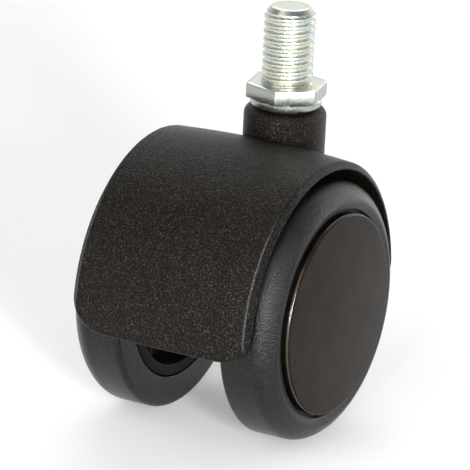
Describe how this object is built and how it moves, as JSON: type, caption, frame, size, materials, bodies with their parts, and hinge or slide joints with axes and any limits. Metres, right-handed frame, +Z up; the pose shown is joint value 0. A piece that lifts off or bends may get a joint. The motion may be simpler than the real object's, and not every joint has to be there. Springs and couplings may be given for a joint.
{
  "type": "chair caster wheel",
  "caption": "Hooded twin-wheel swivel caster on a threaded stem with a hex collar, for an office chair or other furniture.",
  "frame": {"origin": "on the swivel axis, at the top face of the hex collar, where the threaded pin leaves it", "axes": "+Z up along the swivel axis and the threaded pin, +X along the wheels' axle towards the right wheel, -Y towards the hood's front"},
  "size_m": [0.0472, 0.0584, 0.0775],
  "materials": {
    "zinc": "bright zinc plate",
    "nylon": "fine moulded grain",
    "tyre": "satin polyurethane",
    "cover": "very fine moulded grain",
    "core": "moulded nylon",
    "acetal": "moulded acetal",
    "spring_steel": "blackened",
    "ground_steel": "ground"
  },
  "bodies": {
    "stem": {"threaded_stem": "zinc", "stem_snap_ring": "spring_steel"},
    "swivel_housing": {"housing": "nylon", "stem_washer": "nylon", "stem_sleeve": "acetal", "wear_disc": "ground_steel", "axle": "ground_steel", "axle_spacer_left": "acetal", "axle_spacer_right": "acetal", "axle_clip_left": "spring_steel", "axle_clip_right": "spring_steel"},
    "left_wheel": {"wheel_core_left": "core", "tyre_left": "tyre", "wheel_cover_left": "cover", "hub_bush_left": "acetal"},
    "right_wheel": {"wheel_core_right": "core", "tyre_right": "tyre", "wheel_cover_right": "cover", "hub_bush_right": "acetal"}
  },
  "joints": [
    {"name": "swivel", "type": "hinge", "parent": "stem", "child": "swivel_housing", "pos_m": [0, 0, 0], "axis": [0, 0, 1], "continuous": true},
    {"name": "left_roll", "type": "hinge", "parent": "swivel_housing", "child": "left_wheel", "pos_m": [-0.017, -0.0166, -0.0375], "axis": [1, 0, 0], "continuous": true},
    {"name": "right_roll", "type": "hinge", "parent": "swivel_housing", "child": "right_wheel", "pos_m": [0.017, -0.0166, -0.0375], "axis": [1, 0, 0], "continuous": true}
  ]
}
